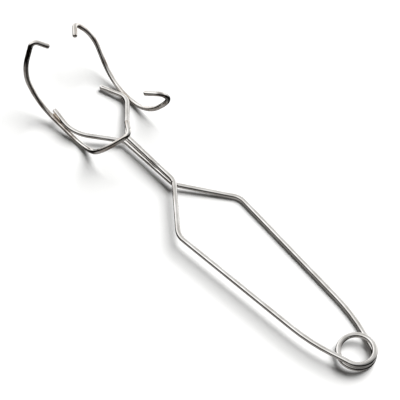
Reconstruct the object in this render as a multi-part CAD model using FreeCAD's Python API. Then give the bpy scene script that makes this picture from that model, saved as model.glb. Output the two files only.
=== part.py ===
"""Jar lifter: a sprung pair of crossed wire tongs with four hooked fingers.

One round spring wire makes both levers.  It runs from the left prong back
through the crossing and the right handle into a short open coil, and out again
as the left handle, the crossing and the right prong.  A bent wire claw is welded
to the outside of each prong.  The wire is cut here where it enters and leaves
the coil, because the coil is the part of it that flexes.

Frame, in millimetres: origin on the coil's axis, half way up the coil; +Y runs
from the coil to the claws, +X to the right seen from the coil, and +Z up along
the coil's axis.  The tool lies on its back with its fingers up.
"""
import FreeCAD, Part
import math
import os

Vec = FreeCAD.Vector

# ---- wire ----------------------------------------------------------------
wire_dia = 3.2            # round spring wire, the same for levers and claws
end_round = 1.1           # rounding of every cut wire end
weld_gap = 0.25           # weld metal between a prong and its claw

# ---- coil ----------------------------------------------------------------
coil_radius = 10.35       # to the middle of the wire
coil_whole_turns = 1      # besides the part turn between the two handles
turn_gap = 1.0            # between neighbouring turns
lead_out = 4.0            # from the coil to the small bend that levels a handle
lead_bend_radius = 50.0

# ---- levers, the same on both sides ---------------------------------------
hip_x = 17.3              # gentle bend where the handle nears the coil
hip_y = 20.2
hip_radius = 120.0
handle_length = 106.1     # from the hip to the knee
knee_x = 25.3             # outward corner at the front of the handles
knee_radius = 12.0
crossing_run = 33.9       # from the knee to the neck
neck_x = 0.1              # bend just past the crossing
neck_radius = 10.0
crossing_gap = 0.8        # between the two wires where they cross
crossing_z = 1.1          # half way between them
shank_length = 47.4       # from the neck to the fork
fork_radius = 7.0
shank_gap = 0.38          # between the two shanks at the fork
shank_tilt = 54.0         # how far, in degrees, the upper one lies over the lower
shank_z = 0.75            # half way between them

# ---- what differs between the upper lever (right prong) and the lower one ---
# Places are ahead of the fork, outwards, and above the middle of the coil.  Each
# claw is welded at the prong's bend: tight on the right, wide on the left.
UPPER_PRONG = {"bend": (27.8, 23.7, -1.0), "radius": 10.5, "tip": (48.0, 16.9, -2.5)}
LOWER_PRONG = {"bend": (25.5, 23.4, 2.1), "radius": 24.0, "tip": (48.6, 20.4, 3.1)}

# ---- claws: one bent wire each, with two hooked fingers ---------------------
# Sizes are from the middle of the belly: along it, up, and outwards.
corner_along, corner_up, corner_out = 45.1, 40.3, -3.7
hook_along, hook_up, hook_out = 35.8, 39.2, -10.6
corner_radius = 3.8

# How each claw sits on its lever: place ahead of the fork, and turns in degrees.
# A lean carries the fingers outwards, a rise lifts the front finger, and a toe
# turns the front finger inwards.  The legs are bent by hand, so each finger has its
# own shoulder, and its own half of the belly: how far it goes, and its bend.
RIGHT_CLAW = {"ahead": 27.7, "lean": -1.1, "rise": -4.9, "toe": -0.6,
              "front": {"shoulder": (41.5, 26.7, 6.1), "shoulder_radius": 21.3,
                        "belly": 17.0, "belly_radius": 39.0},
              "rear": {"shoulder": (39.0, 21.8, 7.7), "shoulder_radius": 30.0,
                       "belly": 18.7, "belly_radius": 33.0}}
LEFT_CLAW = {"ahead": 34.3, "lean": -10.0, "rise": 12.0, "toe": -4.2,
             "front": {"shoulder": (38.3, 21.7, 6.0), "shoulder_radius": 28.0,
                       "belly": 23.6, "belly_radius": 25.0},
             "rear": {"shoulder": (37.1, 22.8, 8.4), "shoulder_radius": 26.5,
                      "belly": 22.5, "belly_radius": 26.0}}

# ---- welds -----------------------------------------------------------------
right_weld_length = 7.0   # where the claw crosses the prong's bend
left_weld_length = 14.0   # where the claw lies along the straight prong
weld_height = 2.6         # of the weld across the two wires

# ---- worked out from the values above ----------------------------------------
wire_radius = wire_dia / 2
turn_pitch = wire_dia + turn_gap
handle_reach = math.hypot(hip_x, hip_y)
# Angle from +X at which the right handle leaves the coil's middle line.
touch_angle = math.atan2(hip_y, hip_x) - math.acos(coil_radius / handle_reach)
coil_turns = coil_whole_turns + 0.5 + touch_angle / math.pi
coil_height = turn_pitch * coil_turns
coil_slope = math.atan(turn_pitch / (2 * math.pi * coil_radius))
handle_z = coil_height / 2 + lead_out * math.sin(coil_slope)
floor_z = -handle_z - wire_radius
knee_y = hip_y + handle_length
neck_y = knee_y + crossing_run
fork_y = neck_y + shank_length
cross_apart = (wire_dia + crossing_gap) / 2
shanks_apart = (wire_dia + shank_gap) / 2
fork_x = shanks_apart * math.cos(math.radians(shank_tilt))
fork_rise = shanks_apart * math.sin(math.radians(shank_tilt))


def rounded_path(points, radii):
    """Straight runs through the points, joined at each inner one by a tangent arc."""
    edges = []
    start = points[0]
    for before, corner, after, radius in zip(points, points[1:], points[2:], radii):
        back = (before - corner).normalize()
        ahead = (after - corner).normalize()
        half_turn = (math.pi - back.getAngle(ahead)) / 2
        arc_start = corner + back * (radius * math.tan(half_turn))
        arc_end = corner + ahead * (radius * math.tan(half_turn))
        bisector = (back + ahead).normalize()
        arc_middle = corner + bisector * (radius / math.cos(half_turn) - radius)
        edges.append(Part.LineSegment(start, arc_start).toShape())
        edges.append(Part.Arc(arc_start, arc_middle, arc_end).toShape())
        start = arc_end
    edges.append(Part.LineSegment(start, points[-1]).toShape())
    return Part.Wire(edges)


def sweep(path):
    """Round wire along a path, square at both ends."""
    start = path.Edges[0].valueAt(path.Edges[0].FirstParameter)
    direction = path.Edges[0].tangentAt(path.Edges[0].FirstParameter)
    section = Part.Wire([Part.makeCircle(wire_radius, start, direction)])
    return path.makePipeShell([section], True, False)


def round_end(wire, tip):
    """Round the rim of the wire's cut end at tip."""
    rims = [edge for edge in wire.Edges
            if isinstance(edge.Curve, Part.Circle) and (edge.Curve.Center - tip).Length < 0.01]
    return wire.makeFillet(end_round, rims)


def make_coil():
    """Short coil that joins the lower handle's end to the upper one's."""
    helix = Part.makeHelix(turn_pitch, coil_height, coil_radius, 0, True)
    section = Part.Wire([Part.makeCircle(
        wire_radius, Vec(coil_radius, 0, 0),
        Vec(0, -math.cos(coil_slope), math.sin(coil_slope)))])
    coil = Part.Wire(helix).makePipeShell([section], True, True)
    coil.rotate(Vec(0, 0, 0), Vec(0, 0, 1), math.degrees(touch_angle))
    coil.translate(Vec(0, 0, -coil_height / 2))
    return coil


def lever_path(level, prong):
    """Path of one lever from the coil to its tip; level is 1 upper, -1 lower.

    The upper lever's handle is on the left and its prong on the right, and the
    lower lever is the other way round.
    """
    handle_side = -level
    prong_side = level
    leaves = Vec(handle_side * coil_radius * math.cos(touch_angle),
                 coil_radius * math.sin(touch_angle), level * coil_height / 2)
    heading = Vec(-handle_side * math.sin(touch_angle) * math.cos(coil_slope),
                  math.cos(touch_angle) * math.cos(coil_slope),
                  level * math.sin(coil_slope))
    points = [
        leaves,
        leaves + heading * lead_out,
        Vec(handle_side * hip_x, hip_y, level * handle_z),
        Vec(handle_side * knee_x, knee_y, level * handle_z),
        Vec(prong_side * neck_x, neck_y, crossing_z + level * cross_apart),
        Vec(prong_side * fork_x, fork_y, shank_z + level * fork_rise),
    ]
    for ahead, out, up in (prong["bend"], prong["tip"]):
        points.append(Vec(prong_side * out, fork_y + ahead, up))
    radii = [lead_bend_radius, hip_radius, knee_radius, neck_radius, fork_radius,
             prong["radius"]]
    return rounded_path(points, radii)


def make_lever(path):
    """One lever: handle, crossing, shank and prong, rounded at the prong's tip."""
    return round_end(sweep(path), path.Edges[-1].valueAt(path.Edges[-1].LastParameter))


def finger_points(finger, end):
    """Corner points of one finger, hook first; end is 1 at the claw's front, -1 at its rear."""
    corners = [(hook_along, hook_up, hook_out), (corner_along, corner_up, corner_out),
               finger["shoulder"], (finger["belly"], 0, 0)]
    return [Vec(out, end * along, up) for along, up, out in corners]


def claw_path(side, claw, lever_line):
    """Path of one claw, resting on the floor and beside its prong; side is 1 right, -1 left."""
    front, rear = claw["front"], claw["rear"]
    outline = finger_points(front, 1) + finger_points(rear, -1)[::-1]
    turn = (FreeCAD.Rotation(Vec(0, 0, 1), claw["toe"])
            * FreeCAD.Rotation(Vec(1, 0, 0), claw["rise"])
            * FreeCAD.Rotation(Vec(0, 1, 0), claw["lean"]))
    points = []
    for corner in outline:
        place = turn.multVec(corner) + Vec(2 * knee_x, fork_y + claw["ahead"], 0)
        points.append(Vec(side * place.x, place.y, place.z))
    radii = [corner_radius, front["shoulder_radius"], front["belly_radius"],
             rear["belly_radius"], rear["shoulder_radius"], corner_radius]
    path = rounded_path(points, radii)
    lowest = path.optimalBoundingBox(False, False).ZMin
    path.translate(Vec(0, 0, floor_z + wire_radius - lowest))
    # From well outside, slide it in until only the weld's gap is left.
    wanted = wire_dia + weld_gap
    gap = path.distToShape(lever_line)[0]
    while gap - wanted > 0.001:
        path.translate(Vec(-side * (gap - wanted), 0, 0))
        gap = path.distToShape(lever_line)[0]
    return path


def make_claw(path):
    """One claw: a bowed belly with a hooked finger at each end, both ends rounded."""
    claw = sweep(path)
    claw = round_end(claw, path.Edges[0].valueAt(path.Edges[0].FirstParameter))
    return round_end(claw, path.Edges[-1].valueAt(path.Edges[-1].LastParameter))


def make_weld(claw_line, lever_line, claw, lever, length):
    """Weld metal in the valley between a claw and its prong, where they are nearest."""
    on_claw, on_lever = claw_line.distToShape(lever_line)[1][0]
    across = on_claw - on_lever
    belly = claw_line.Edges[6]
    along = belly.tangentAt(belly.FirstParameter)
    along = (along - across * along.dot(across) / across.dot(across)).normalize()
    outline = Part.Ellipse(on_lever + along * (length / 2),
                           on_lever + across.cross(along).normalize() * (weld_height / 2),
                           on_lever)
    slug = Part.Face(Part.Wire([outline.toShape()])).extrude(across)
    return slug.cut(claw).cut(lever)


upper_line = lever_path(1, UPPER_PRONG)
lower_line = lever_path(-1, LOWER_PRONG)
right_line = claw_path(1, RIGHT_CLAW, upper_line)
left_line = claw_path(-1, LEFT_CLAW, lower_line)

nodes = {
    "coil_spring": make_coil(),
    "upper_lever": make_lever(upper_line),
    "lower_lever": make_lever(lower_line),
    "right_claw": make_claw(right_line),
    "left_claw": make_claw(left_line),
}
nodes["right_weld"] = make_weld(right_line, upper_line, nodes["right_claw"],
                                nodes["upper_lever"], right_weld_length)
nodes["left_weld"] = make_weld(left_line, lower_line, nodes["left_claw"],
                               nodes["lower_lever"], left_weld_length)

os.makedirs("parts", exist_ok=True)
for name, shape in nodes.items():
    shape.exportStep(f"parts/{name}.step")
    box = shape.BoundBox
    print(f"{name:12s} solids {len(shape.Solids)} valid {shape.isValid()} volume {shape.Volume:9.2f}"
          f"  x {box.XMin:7.2f} {box.XMax:7.2f}  y {box.YMin:7.2f} {box.YMax:7.2f}"
          f"  z {box.ZMin:7.2f} {box.ZMax:7.2f}")
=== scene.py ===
# %% [markdown]
# # A jar lifter bent from chrome plated wire
#
# A jar lifter is a pair of sprung tongs for taking hot preserving jars out of a
# pan.  One long spring wire makes the two handles, the coil between them, the
# crossing and the two prongs.  A shorter bent wire, the claw, is welded to each
# prong and ends in two hooked fingers.  Everything below is one kind of thing, a
# round wire, so this lesson is about bending wire and about making bright metal.
#
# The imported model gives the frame: its bodies, its nodes and their places.

import math

import bmesh
import bpy
from mathutils import Matrix, Vector, noise


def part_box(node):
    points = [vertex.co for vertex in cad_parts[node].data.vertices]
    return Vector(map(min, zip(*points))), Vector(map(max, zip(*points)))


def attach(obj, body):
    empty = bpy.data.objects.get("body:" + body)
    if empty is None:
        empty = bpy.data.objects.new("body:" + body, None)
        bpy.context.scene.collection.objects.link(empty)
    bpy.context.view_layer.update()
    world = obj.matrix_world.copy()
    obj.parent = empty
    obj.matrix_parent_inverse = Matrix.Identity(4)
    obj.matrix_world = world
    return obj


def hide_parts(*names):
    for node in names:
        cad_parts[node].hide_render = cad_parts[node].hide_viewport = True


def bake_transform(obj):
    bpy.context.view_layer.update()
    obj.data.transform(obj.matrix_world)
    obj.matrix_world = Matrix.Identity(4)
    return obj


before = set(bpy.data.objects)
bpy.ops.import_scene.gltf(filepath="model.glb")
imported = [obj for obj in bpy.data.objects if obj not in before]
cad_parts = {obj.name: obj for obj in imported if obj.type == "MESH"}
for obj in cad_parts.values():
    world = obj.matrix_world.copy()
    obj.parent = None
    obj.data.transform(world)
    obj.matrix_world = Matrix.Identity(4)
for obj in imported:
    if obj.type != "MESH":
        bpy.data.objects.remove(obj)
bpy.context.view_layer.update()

# %% [markdown]
# ## Sizes
#
# These are the same sizes as in the part's own source, in metres.  The origin is
# on the coil's axis, half way up the coil.  +Y runs from the coil to the claws,
# +X to the right seen from the coil, and +Z up.

# %% Sizes of the wire, the coil and the levers
WIRE = 0.0032
END_ROUND = 0.0011
COIL_RADIUS = 0.01035
TURN_PITCH = WIRE + 0.001
LEAD_OUT, LEAD_RADIUS = 0.004, 0.05
HIP, HIP_RADIUS = (0.0173, 0.0202), 0.12
KNEE_X, KNEE_RADIUS = 0.0253, 0.012
NECK_X, NECK_RADIUS = 0.0001, 0.010
KNEE_Y = HIP[1] + 0.1061
NECK_Y = KNEE_Y + 0.0339
FORK_Y = NECK_Y + 0.0474
FORK_RADIUS = 0.007
CROSSING_Z, CROSSING_HALF = 0.0011, (WIRE + 0.0008) / 2
SHANK_Z, SHANK_HALF, SHANK_TILT = 0.00075, (WIRE + 0.00038) / 2, math.radians(54)
UPPER_PRONG = {"bend": (0.0278, 0.0237, -0.0010), "radius": 0.0105,
               "tip": (0.0480, 0.0169, -0.0025)}
LOWER_PRONG = {"bend": (0.0255, 0.0234, 0.0021), "radius": 0.024,
               "tip": (0.0486, 0.0204, 0.0031)}

touch_angle = math.atan2(HIP[1], HIP[0]) - math.acos(COIL_RADIUS / math.hypot(*HIP))
coil_turns = 1.5 + touch_angle / math.pi
coil_height = TURN_PITCH * coil_turns
coil_slope = math.atan(TURN_PITCH / (2 * math.pi * COIL_RADIUS))
handle_z = coil_height / 2 + LEAD_OUT * math.sin(coil_slope)
floor_z = -handle_z - WIRE / 2
print(f"coil: {coil_turns:.2f} turns, {1000 * coil_height:.2f} mm high at the wire's middle")

# %% [markdown]
# ## A wire bender
#
# A wire shop feeds straight wire and turns it round a pin, over and over.  The
# same two moves make a perfect round wire here.  The wire starts as one circle.
# *Feed* extrudes that circle straight ahead, and *bend* spins it round the pin in
# small steps, so bends are true arcs and straight runs need only two rings.
#
# Each vertex also keeps where it would be if the wire were pulled straight again:
# x and y across the wire, z along it.  The finish uses that to lay its drawing
# marks along the wire, through every bend, with no seam.

# %% Feed, bend and cut
SIDES = 32
BEND_STEP = math.radians(4)
RIM_SEGMENTS = 6


class Wire:
    """A round wire that grows from its last ring, as it leaves a wire bender."""

    def __init__(self, start, heading):
        self.bm = bmesh.new()
        self.straight = self.bm.verts.layers.float_vector.new("straightened")
        ring = bmesh.ops.create_circle(self.bm, segments=SIDES, radius=WIRE / 2)["verts"]
        for vert in ring:
            vert[self.straight] = vert.co
        facing = heading.to_track_quat("Z", "Y").to_matrix().to_4x4()
        bmesh.ops.transform(self.bm, matrix=Matrix.Translation(start) @ facing, verts=ring)
        self.ring = self.first_ring = self.bm.edges[:]
        self.place, self.heading, self.length = start.copy(), heading.normalized(), 0.0

    def grown(self, geometry, length):
        """Takes the new ring from what an operator returned."""
        self.length += length
        verts = {item for item in geometry if isinstance(item, bmesh.types.BMVert)}
        for vert in verts:
            across = vert[self.straight]
            vert[self.straight] = (across[0], across[1], self.length)
        self.ring = [item for item in geometry if isinstance(item, bmesh.types.BMEdge)
                     and verts.issuperset(item.verts)]

    def feed(self, length):
        """Pushes the wire straight ahead."""
        new = bmesh.ops.extrude_edge_only(self.bm, edges=self.ring)["geom"]
        self.place += self.heading * length
        verts = [item for item in new if isinstance(item, bmesh.types.BMVert)]
        bmesh.ops.translate(self.bm, vec=self.heading * length, verts=verts)
        self.grown(new, length)

    def bend(self, centre, axis, angle, rise=0.0):
        """Turns the wire round a pin, and along it by rise for a coil."""
        steps = max(2, math.ceil(angle / BEND_STEP))
        step = Matrix.Rotation(angle / steps, 3, axis)
        climb = axis.normalized() * rise / steps
        radius = (self.place - centre).cross(axis.normalized()).length
        for _ in range(steps):
            verts = list({vert for edge in self.ring for vert in edge.verts})
            new = bmesh.ops.spin(self.bm, geom=verts + self.ring, cent=centre, axis=axis,
                                 dvec=climb, angle=angle / steps, steps=1)["geom_last"]
            self.place = centre + step @ (self.place - centre) + climb
            self.heading = step @ self.heading
            self.grown(new, math.hypot(radius * angle, rise) / steps)

    def through(self, corners, radii):
        """Feeds and bends the wire through corner points, and on to the last one."""
        for corner, after, radius in zip(corners, corners[1:], radii):
            ahead = (after - corner).normalized()
            angle = self.heading.angle(ahead)
            lead = radius * math.tan(angle / 2)
            self.feed((corner - self.place).length - lead)
            axis = self.heading.cross(ahead).normalized()
            self.bend(self.place + axis.cross(self.heading) * radius, axis, angle)
        self.feed((corners[-1] - self.place).length)

    def close(self, ring, rounding=0.0):
        """Closes one end, with a sheared and deburred rim where rounding is given."""
        bmesh.ops.edgeloop_fill(self.bm, edges=ring)
        if rounding:
            bmesh.ops.bevel(self.bm, geom=ring, offset=rounding, offset_type="OFFSET",
                            affect="EDGES", segments=RIM_SEGMENTS, profile=0.5,
                            material=-1)
        else:
            for edge in ring:
                edge.smooth = False

    def finish(self, name, start_round=0.0, end_round=0.0):
        """Closes both ends and makes the object."""
        self.close(self.ring, end_round)
        self.close(self.first_ring, start_round)
        return mesh_object(name, self.bm)


def mesh_object(name, bm):
    """Turns a closed bmesh into a smooth shaded object with its faces outwards."""
    bmesh.ops.recalc_face_normals(bm, faces=bm.faces)
    mesh = bpy.data.meshes.new(name)
    bm.to_mesh(mesh)
    bm.free()
    mesh.shade_smooth()
    piece = bpy.data.objects.new(name, mesh)
    bpy.context.collection.objects.link(piece)
    size = [round(1000 * side, 2) for side in piece.dimensions]
    print(f"{name}: {len(mesh.polygons)} faces, {size} mm")
    return piece


# %% [markdown]
# ## The coil
#
# The spring is a little under one and a half turns, with a narrow gap between
# them.  Its two ends point at the two handles, so the turns are not a whole
# number.

# %% Wind the coil
coil_start = Vector((COIL_RADIUS * math.cos(touch_angle), COIL_RADIUS * math.sin(touch_angle),
                     -coil_height / 2))
lower_exit = Vector((math.sin(touch_angle) * math.cos(coil_slope),
                     -math.cos(touch_angle) * math.cos(coil_slope), math.sin(coil_slope)))
# Left handed: seen from above, the wire climbs as it turns clockwise.
winding = Wire(coil_start, lower_exit)
winding.bend(Vector((0, 0, 0)), Vector((0, 0, -1)), 2 * math.pi * coil_turns, -coil_height)
coil = winding.finish("spring_coil")
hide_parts("coil_spring")
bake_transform(coil)

# %% [markdown]
# ## The two levers
#
# Each lever is the rest of the same wire: a short lead off the coil, a handle that
# spreads gently to a knee, a run inwards that crosses the other lever, a long
# shank beside it and a prong that forks away.  The upper lever has its handle on
# the left and its prong on the right, and the lower lever the other way round.


# %% Bend the levers
def make_lever(name, level, prong):
    """One lever; level is 1 for the upper and -1 for the lower."""
    handle_side, prong_side = -level, level
    start = Vector((handle_side * COIL_RADIUS * math.cos(touch_angle),
                    COIL_RADIUS * math.sin(touch_angle), level * coil_height / 2))
    heading = Vector((-handle_side * math.sin(touch_angle) * math.cos(coil_slope),
                      math.cos(touch_angle) * math.cos(coil_slope),
                      level * math.sin(coil_slope)))
    corners = [
        start + heading * LEAD_OUT,
        Vector((handle_side * HIP[0], HIP[1], level * handle_z)),
        Vector((handle_side * KNEE_X, KNEE_Y, level * handle_z)),
        Vector((prong_side * NECK_X, NECK_Y, CROSSING_Z + level * CROSSING_HALF)),
        Vector((prong_side * SHANK_HALF * math.cos(SHANK_TILT), FORK_Y,
                SHANK_Z + level * SHANK_HALF * math.sin(SHANK_TILT))),
    ]
    for ahead, out, up in (prong["bend"], prong["tip"]):
        corners.append(Vector((prong_side * out, FORK_Y + ahead, up)))
    wire = Wire(start, heading)
    wire.through(corners, [LEAD_RADIUS, HIP_RADIUS, KNEE_RADIUS, NECK_RADIUS, FORK_RADIUS,
                           prong["radius"]])
    return wire.finish(name, end_round=END_ROUND)


upper = make_lever("upper_lever_wire", 1, UPPER_PRONG)
lower = make_lever("lower_lever_wire", -1, LOWER_PRONG)
for piece, cad_node, body in ((upper, "upper_lever", "upper_tong"),
                              (lower, "lower_lever", "lower_tong")):
    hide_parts(cad_node)
    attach(piece, body)

# %% [markdown]
# ## The claws
#
# A claw is a cradle of the same wire: a bowed belly that is welded to the prong, a
# leg that rises from each end of it, and a hook at the top that points inwards.
# Every hook is the same, but the legs were bent by hand and differ a little, and
# each claw was welded on at its own tilt.  The outline is bent flat at the origin
# first, then turned like the real one, and slid to the place the frame gives for
# its node.

# %% Bend the claws
# A point is given as how far along the claw it is, how high, and how far outwards.
HOOK, CORNER, CORNER_RADIUS = (0.0358, 0.0392, -0.0106), (0.0451, 0.0403, -0.0037), 0.0038
# The front finger, then the rear one: its shoulder, the shoulder's radius, how far
# along its half of the belly runs, and the radius there.
RIGHT_FINGERS = [((0.0415, 0.0267, 0.0061), 0.0213, 0.0170, 0.0390),
                 ((0.0390, 0.0218, 0.0077), 0.0300, 0.0187, 0.0330)]
LEFT_FINGERS = [((0.0383, 0.0217, 0.0060), 0.0280, 0.0236, 0.0250),
                ((0.0371, 0.0228, 0.0084), 0.0265, 0.0225, 0.0260)]


def make_claw(name, cad_node, side, fingers, lean, rise, toe):
    """One claw, front finger first; side is 1 on the right, and the turns are in degrees."""
    outline, radii = [], []
    for end, (shoulder, shoulder_radius, belly, belly_radius) in zip((1, -1), fingers):
        half = [(end * along, up, out)
                for along, up, out in (HOOK, CORNER, shoulder, (belly, 0, 0))]
        outline += half[::end]
        radii += [CORNER_RADIUS, shoulder_radius, belly_radius][::end]
    turn = (Matrix.Rotation(math.radians(toe), 3, "Z")
            @ Matrix.Rotation(math.radians(rise), 3, "X")
            @ Matrix.Rotation(math.radians(lean), 3, "Y"))
    mirror = Matrix.Diagonal((side, 1, 1))
    corners = [mirror @ (turn @ Vector((out, along, up))) for along, up, out in outline]
    wire = Wire(corners[0], corners[1] - corners[0])
    wire.through(corners[1:], radii)
    wire.close(wire.ring, END_ROUND)
    wire.close(wire.first_ring, END_ROUND)
    low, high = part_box(cad_node)
    reach = [[pick(vert.co[axis] for vert in wire.bm.verts) for axis in range(3)]
             for pick in (min, max)]
    shift = (Vector(low) + Vector(high)) / 2 - (Vector(reach[0]) + Vector(reach[1])) / 2
    bmesh.ops.translate(wire.bm, vec=shift, verts=wire.bm.verts)
    return mesh_object(name, wire.bm), mirror @ (turn @ Vector((0, 1, 0)))


right_claw, right_along = make_claw("right_claw_wire", "right_claw", 1, RIGHT_FINGERS,
                                    lean=-1.1, rise=-4.9, toe=-0.6)
left_claw, left_along = make_claw("left_claw_wire", "left_claw", -1, LEFT_FINGERS,
                                  lean=-10.0, rise=12.0, toe=-4.2)
for piece, cad_node, body in ((right_claw, "right_claw", "upper_tong"),
                              (left_claw, "left_claw", "lower_tong")):
    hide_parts(cad_node)
    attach(piece, body)

# %% [markdown]
# ## The welds
#
# Each claw is held by one weld in the valley between it and its prong.  Such a
# weld is a smooth, slightly lumpy bead that wets both wires.  A sphere, stretched
# along the wires and pushed about a little by noise, sits in the valley and runs
# into both.


# %% Lay the weld beads
LUMP_SPACING, LUMP_HEIGHT = 0.0012, 0.00014


def make_weld(name, cad_node, along, length, thickness, height):
    """A lumpy bead at the middle of a weld's node, stretched along the claw."""
    bm = bmesh.new()
    bmesh.ops.create_icosphere(bm, subdivisions=4, radius=1)
    bmesh.ops.scale(bm, vec=(thickness / 2, length / 2, height / 2), verts=bm.verts)
    for vert in bm.verts:
        lump = noise.noise(vert.co / LUMP_SPACING) * LUMP_HEIGHT
        vert.co += vert.co.normalized() * lump
    low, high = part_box(cad_node)
    facing = along.to_track_quat("Y", "Z").to_matrix().to_4x4()
    middle = (Vector(low) + Vector(high)) / 2
    bmesh.ops.transform(bm, matrix=Matrix.Translation(middle) @ facing, verts=bm.verts)
    return mesh_object(name, bm)


right_weld = make_weld("right_weld_bead", "right_weld", right_along,
                       length=0.0075, thickness=0.0030, height=0.0030)
left_weld = make_weld("left_weld_bead", "left_weld", left_along,
                      length=0.0145, thickness=0.0030, height=0.0029)
for piece, cad_node, body in ((right_weld, "right_weld", "upper_tong"),
                              (left_weld, "left_weld", "lower_tong")):
    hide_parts(cad_node)
    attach(piece, body)

# %% [markdown]
# ## Finishes
#
# The whole tool is plated in bright chrome.  Its colours are given as the hex
# values of a colour picker and turned to linear light in one place, and one small
# function adds a shader node together with its settings and its links.


# %% One colour function and one node function
def linear(hex_colour):
    """An sRGB hex colour as the linear RGBA that a shader socket takes."""
    values = [int(hex_colour[i:i + 2], 16) / 255 for i in (1, 3, 5)]
    return [v / 12.92 if v <= 0.04045 else ((v + 0.055) / 1.055) ** 2.4 for v in values] + [1.0]


def node(tree, kind, settings=(), inputs=()):
    """Adds a node; an input takes a value, a node or its output, and a ramp takes stops."""
    added = tree.nodes.new(kind)
    for name, value in dict(settings).items():
        if name == "stops":
            elements = added.color_ramp.elements
            while len(elements) < len(value):
                elements.new(1.0)
            for element, (position, colour) in zip(elements, value):
                element.position, element.color = position, linear(colour)
        else:
            setattr(added, name, value)
    for name, value in dict(inputs).items():
        if isinstance(value, bpy.types.Node):
            value = value.outputs[0]
        if isinstance(value, bpy.types.NodeSocket):
            tree.links.new(value, added.inputs[name])
        else:
            added.inputs[name].default_value = value
    return added


# %% [markdown]
# ## Bright chrome on drawn wire
#
# Decorative chrome on steel wire that was pulled through a die.  Bright metal shows
# what is round it, so its look is mostly the studio's.  What the metal adds is
# small: lines from the die along the wire, a haze where it has been handled, and a
# plate that is not quite even.  Each of those is a noise in the wire's own
# straightened space, so it follows every bend.  The claws were bent and welded
# before they were plated, which leaves them more uneven, with brownish grey stains.
#
# Real die lines are a few hundredths of a millimetre apart, too fine to show, so
# they are drawn about half a millimetre apart and very shallow.


# %% Bright chrome plate on drawn wire
LINE_LENGTH_MM = 12
HAZE_WIDTH_MM, HAZE_LENGTH_MM = 4, 11
LINE_DEPTH = 0.00004
MM_PER_M = 1000


def chrome_plate(name, tints, line_mm, roughness, wave):
    """Chrome over drawn wire, with die lines line_mm apart across the wire."""
    material = bpy.data.materials.new(name)
    material.use_nodes = True
    tree = material.node_tree
    shader = tree.nodes["Principled BSDF"]
    straight = node(tree, "ShaderNodeAttribute",
                    {"attribute_name": "straightened"}).outputs["Vector"]
    line_scale = [MM_PER_M / size for size in (line_mm, line_mm, LINE_LENGTH_MM)]
    haze_scale = [MM_PER_M / size for size in (HAZE_WIDTH_MM, HAZE_WIDTH_MM, HAZE_LENGTH_MM)]
    drawn = node(tree, "ShaderNodeMapping", {}, {"Vector": straight, "Scale": line_scale})
    lines = node(tree, "ShaderNodeTexNoise", {},
                 {"Vector": drawn, "Scale": 1.0, "Detail": 3.0, "Roughness": 0.6})
    handled = node(tree, "ShaderNodeMapping", {}, {"Vector": straight, "Scale": haze_scale})
    haze = node(tree, "ShaderNodeTexNoise", {},
                {"Vector": handled, "Scale": 1.0, "Detail": 4.0, "Roughness": 0.55})
    tint = node(tree, "ShaderNodeValToRGB", {"stops": tints}, {"Fac": haze})
    dull = node(tree, "ShaderNodeMapRange", {},
                {"Value": haze, "From Min": 0.35, "From Max": 0.65,
                 "To Min": roughness[0], "To Max": roughness[1]})
    bump = node(tree, "ShaderNodeBump", {},
                {"Height": lines, "Strength": wave, "Distance": LINE_DEPTH})
    tree.links.new(tint.outputs["Color"], shader.inputs["Base Color"])
    tree.links.new(dull.outputs["Result"], shader.inputs["Roughness"])
    tree.links.new(bump.outputs["Normal"], shader.inputs["Normal"])
    shader.inputs["Metallic"].default_value = 1.0
    return material


spring_chrome = chrome_plate("chrome_plate_on_drawn_spring_wire",
                             tints=[(0.36, "#C9C6C2"), (0.6, "#E2E0DE")],
                             line_mm=0.45, roughness=(0.02, 0.08), wave=0.25)
claw_chrome = chrome_plate("chrome_plate_on_bent_claw_wire",
                           tints=[(0.36, "#8F847C"), (0.45, "#C6C0BA"), (0.6, "#E2E0DD")],
                           line_mm=0.6, roughness=(0.03, 0.14), wave=0.5)
print("chrome plates:", spring_chrome.name, claw_chrome.name)

# %% [markdown]
# ## Plated weld
#
# A weld bead is steel that froze in ripples, and chrome over it stays duller than
# on drawn wire, with a straw tint from the heat.  Lumps about a millimetre across
# give the ripples and the tint together, in Object coordinates, because a bead has
# no direction of its own.

# %% Plated weld
LUMP_MM, RIPPLE_DEPTH, WELD_ROUGHNESS = 1.1, 0.0001, 0.34
weld_metal = bpy.data.materials.new("chrome_plate_over_weld_bead")
weld_metal.use_nodes = True
tree = weld_metal.node_tree
shader = tree.nodes["Principled BSDF"]
place = node(tree, "ShaderNodeTexCoord").outputs["Object"]
lumps = node(tree, "ShaderNodeTexNoise", {},
             {"Vector": place, "Scale": MM_PER_M / LUMP_MM, "Detail": 4.0, "Roughness": 0.6})
heat = node(tree, "ShaderNodeValToRGB",
            {"stops": [(0.3, "#8E8076"), (0.5, "#B5A898"), (0.7, "#CBC3BA")]}, {"Fac": lumps})
bump = node(tree, "ShaderNodeBump", {},
            {"Height": lumps, "Strength": 0.5, "Distance": RIPPLE_DEPTH})
tree.links.new(heat.outputs["Color"], shader.inputs["Base Color"])
tree.links.new(bump.outputs["Normal"], shader.inputs["Normal"])
shader.inputs["Metallic"].default_value = 1.0
shader.inputs["Roughness"].default_value = WELD_ROUGHNESS

for piece, material in ((coil, spring_chrome), (upper, spring_chrome), (lower, spring_chrome),
                        (right_claw, claw_chrome), (left_claw, claw_chrome),
                        (right_weld, weld_metal), (left_weld, weld_metal)):
    piece.data.materials.append(material)
print("weld:", weld_metal.name)

# %% [markdown]
# ## The floor
#
# The tool lies on a matt white sheet, with its fingers up.  One square face is
# enough.  The floor is kept out of what the metal reflects, because the tent
# further down shows the metal all that it needs.

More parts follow.
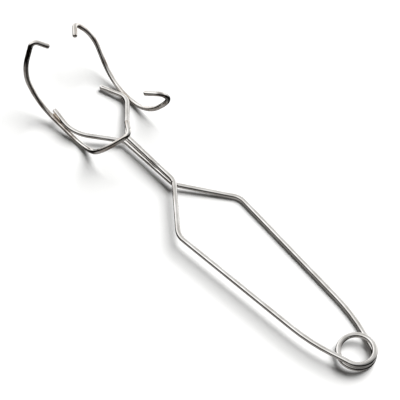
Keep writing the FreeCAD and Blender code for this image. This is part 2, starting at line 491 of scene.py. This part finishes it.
# %% Floor
tool_middle = Vector((0, 0.14, 0))
FLOOR_HALF = 1.6
PAPER_ROUGHNESS = 0.9

bm = bmesh.new()
bmesh.ops.create_grid(bm, x_segments=1, y_segments=1, size=FLOOR_HALF)
bmesh.ops.translate(bm, vec=tool_middle + Vector((0, 0, floor_z)), verts=bm.verts)
floor_mesh = bpy.data.meshes.new("floor")
bm.to_mesh(floor_mesh)
bm.free()
floor = bpy.data.objects.new("floor", floor_mesh)
bpy.context.collection.objects.link(floor)
floor.visible_glossy = False
paper = bpy.data.materials.new("white_paper_sweep")
paper.use_nodes = True
shader = paper.node_tree.nodes["Principled BSDF"]
shader.inputs["Base Color"].default_value = linear("#F2F2F1")
shader.inputs["Roughness"].default_value = PAPER_ROUGHNESS
floor_mesh.materials.append(paper)
print(f"floor: {-MM_PER_M * floor_z:.2f} mm below the coil's middle")

# %% [markdown]
# ## The softbox
#
# One large square softbox stands to the right, 52 degrees up.  It lights the
# sheet, and every wire leaves a soft grey shadow on the other side.  It is kept
# out of the reflections too, where it would show as one hard white square.


# %% Softbox
def soft_light(name, azimuth, elevation, distance, size, watts):
    """A square soft light that faces the middle of the tool."""
    light = bpy.data.lights.new(name, "AREA")
    light.shape, light.size, light.energy = "SQUARE", size, watts
    lamp = bpy.data.objects.new(name, light)
    bpy.context.collection.objects.link(lamp)
    turn, lift = math.radians(azimuth), math.radians(elevation)
    away = Vector((math.sin(turn) * math.cos(lift), math.cos(turn) * math.cos(lift),
                   math.sin(lift)))
    lamp.location = tool_middle + away * distance
    lamp.rotation_euler = away.to_track_quat("Z", "Y").to_euler()
    lamp.visible_glossy = False
    return lamp


key = soft_light("key_softbox", azimuth=88, elevation=52, distance=4.0, size=3.2, watts=300)
print("softbox:", [round(part, 2) for part in key.location])

# %% [markdown]
# ## The tent
#
# Small bright goods are often lit inside a white tent, so that a round wire shows
# one broad white band with a dark line where the tent is open.  A ramp from the
# dark side to the bright side of the room is that tent.  The ramp runs towards a
# point high up on the right, and a second gradient dims the low end of the room
# beyond the handles.  The tent is bright to the metal and faint to the floor, so
# that the softbox keeps its shadows.

# %% Tent
TENT_TOP = Vector((0.62, 0.30, 0.72)).normalized()
TENT_OPENING = Vector((0.0, -1.0, 0.25)).normalized()
FLOOR_STRENGTH, METAL_STRENGTH = 0.10, 1.5

world = bpy.data.worlds.new("studio")
world.use_nodes = True
tree = world.node_tree
direction = node(tree, "ShaderNodeTexCoord").outputs["Generated"]
towards = node(tree, "ShaderNodeVectorMath", {"operation": "DOT_PRODUCT"},
               {0: direction, 1: TENT_TOP})
span = node(tree, "ShaderNodeMapRange", {},
            {"Value": towards.outputs["Value"], "From Min": -1.0, "From Max": 1.0})
tent = node(tree, "ShaderNodeValToRGB",
            {"stops": [(0.10, "#8E8C8A"), (0.2, "#7C7A78"), (0.26, "#100F0E"), (0.49, "#161514"),
                       (0.56, "#D8D8D7"), (0.63, "#FFFFFF"), (0.8, "#FFFFFF"),
                       (0.9, "#D2D2D1"), (1.0, "#BEBEBD")]}, {"Fac": span})
behind = node(tree, "ShaderNodeVectorMath", {"operation": "DOT_PRODUCT"},
              {0: direction, 1: TENT_OPENING})
opening = node(tree, "ShaderNodeMapRange", {},
               {"Value": behind.outputs["Value"], "From Min": 0.15, "From Max": 0.75,
                "To Min": 1.0, "To Max": 0.2})
seen_by_metal = node(tree, "ShaderNodeLightPath").outputs["Is Glossy Ray"]
strength = node(tree, "ShaderNodeMapRange", {},
                {"Value": seen_by_metal, "To Min": FLOOR_STRENGTH, "To Max": METAL_STRENGTH})
dimmed = node(tree, "ShaderNodeMath", {"operation": "MULTIPLY"}, {0: strength, 1: opening})
tree.links.new(tent.outputs["Color"], tree.nodes["Background"].inputs["Color"])
tree.links.new(dimmed.outputs["Value"], tree.nodes["Background"].inputs["Strength"])
bpy.context.scene.world = world
bpy.context.scene.view_settings.view_transform = "Standard"
print("tent:", METAL_STRENGTH, "to the metal and", FLOOR_STRENGTH, "to the floor")

# %% [markdown]
# ## The camera
#
# A long lens looks down at the tool from beyond the handles, and from their left.
# The camera is turned by a bearing from +Y, a tilt below the horizon and a small
# roll, which are easier to read than the angles of an Euler turn.

# %% Camera
EYE = Vector((-0.30434, -0.22439, 0.64703))
LENS_MM, SENSOR_MM = 116.77, 36

camera_data = bpy.data.cameras.new("camera")
camera_data.sensor_width = SENSOR_MM
camera_data.lens = LENS_MM
camera = bpy.data.objects.new("camera", camera_data)
bpy.context.collection.objects.link(camera)
bearing, tilt, roll = math.radians(40.239), math.radians(53.604), math.radians(-1.148)
looking = Vector((math.sin(bearing) * math.cos(tilt), math.cos(bearing) * math.cos(tilt),
                  -math.sin(tilt)))
level_right = Vector((math.cos(bearing), -math.sin(bearing), 0))
level_up = level_right.cross(looking)
right = level_right * math.cos(roll) + level_up * math.sin(roll)
up = right.cross(looking)
camera.matrix_world = Matrix((right, up, -looking)).transposed().to_4x4()
camera.location = EYE
bpy.context.scene.camera = camera
print(f"camera: {(EYE - tool_middle).length:.3f} m from the middle of the tool")
